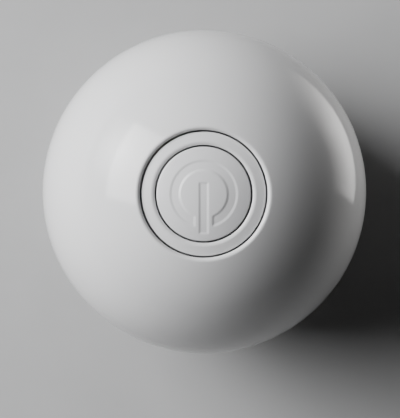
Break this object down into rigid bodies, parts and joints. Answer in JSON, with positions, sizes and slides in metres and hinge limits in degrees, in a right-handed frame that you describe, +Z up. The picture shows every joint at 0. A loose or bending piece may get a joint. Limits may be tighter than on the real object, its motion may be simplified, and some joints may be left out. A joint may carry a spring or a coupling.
{
  "type": "smart speaker",
  "caption": "Glossy white ball-shaped smart speaker on a rubber foot, with a large crowned power button in a light ring on top and sound slots round its lower half.",
  "frame": {"origin": "middle of the foot ring's underside, on the surface that the speaker stands on", "axes": "+Z up through the button's middle; -Y the front, from which the power symbol reads upright; +Y the back with the charging port"},
  "size_m": [0.1, 0.1, 0.0899],
  "materials": {
    "gloss_white": "high-gloss moulded white with faint handling marks",
    "ring_white": "gloss translucent white light guide",
    "button_white": "high-gloss moulded white, engraved",
    "foot_rubber": "fine matt texture",
    "cover_grey": "fine spark-eroded texture",
    "seal_rubber": "matt",
    "liner_cloth": "fine acoustic cloth",
    "frame_plastic": "moulded, fine grain",
    "screw_steel": "zinc plated",
    "part_steel": "pressed sheet",
    "port_steel": "bright formed shell",
    "switch_plastic": "moulded",
    "cone_paper": "pressed paper",
    "ferrite": "ground ferrite",
    "copper": "enamelled copper winding",
    "spider_cloth": "resin-treated cloth",
    "board_green": "solder mask over glass laminate",
    "board_white": "white solder mask",
    "cell_wrap": "shrink sleeve",
    "led_lens": "clear lens over phosphor",
    "lead_black": "insulated lead",
    "lead_red": "insulated lead",
    "flex_white": "flat flexible cable"
  },
  "bodies": {
    "housing": {"upper_shell": "gloss_white", "lower_shell": "gloss_white", "seam_gasket": "seal_rubber", "grille_liner": "liner_cloth", "foot_ring": "foot_rubber", "base_cover": "cover_grey", "light_ring": "ring_white", "control_board": "board_white", "switch_body": "switch_plastic", "button_spring": "part_steel", "waveguide": "frame_plastic", "baffle_frame": "frame_plastic", "driver_basket": "part_steel", "driver_gasket": "seal_rubber", "surround": "seal_rubber", "spider": "spider_cloth", "magnet_top_plate": "part_steel", "driver_magnet": "ferrite", "pole_yoke": "part_steel", "charge_port": "port_steel", "port_gasket": "seal_rubber", "port_board": "board_green", "battery_pack": "cell_wrap", "main_board": "board_green", "shield_can": "part_steel", "wifi_antenna": "board_white", "board_ribbon": "flex_white", "battery_lead": "lead_red", "charge_lead": "lead_black", "speaker_lead": "lead_black", "base_screw_1": "screw_steel", "driver_screw_1": "screw_steel", "base_screw_2": "screw_steel", "driver_screw_2": "screw_steel", "base_screw_3": "screw_steel", "driver_screw_3": "screw_steel", "base_screw_4": "screw_steel", "driver_screw_4": "screw_steel", "chassis_screw_1": "screw_steel", "control_screw_1": "screw_steel", "board_screw_1": "screw_steel", "chassis_screw_2": "screw_steel", "control_screw_2": "screw_steel", "board_screw_2": "screw_steel", "chassis_screw_3": "screw_steel", "control_screw_3": "screw_steel", "board_screw_3": "screw_steel", "led_1": "led_lens", "led_2": "led_lens", "led_3": "led_lens", "led_4": "led_lens", "led_5": "led_lens", "led_6": "led_lens", "microphone_1": "part_steel", "microphone_2": "part_steel"},
    "button": {"power_button": "button_white", "switch_plunger": "switch_plastic"},
    "driver_cone_body": {"driver_cone": "cone_paper", "dust_cap": "cone_paper", "voice_coil": "copper"}
  },
  "joints": [
    {"name": "power_button_press", "type": "slide", "parent": "housing", "child": "button", "axis": [0, 0, -1], "range_m": [0, 0.0008], "stiffness_N_per_m": 600, "springref_m": -0.0008, "deforming": ["button_spring"]},
    {"name": "cone_travel", "type": "slide", "parent": "housing", "child": "driver_cone_body", "axis": [0, 0, -1], "range_m": [-0.0015, 0.0015], "stiffness_N_per_m": 1500, "deforming": ["surround", "spider"]}
  ]
}
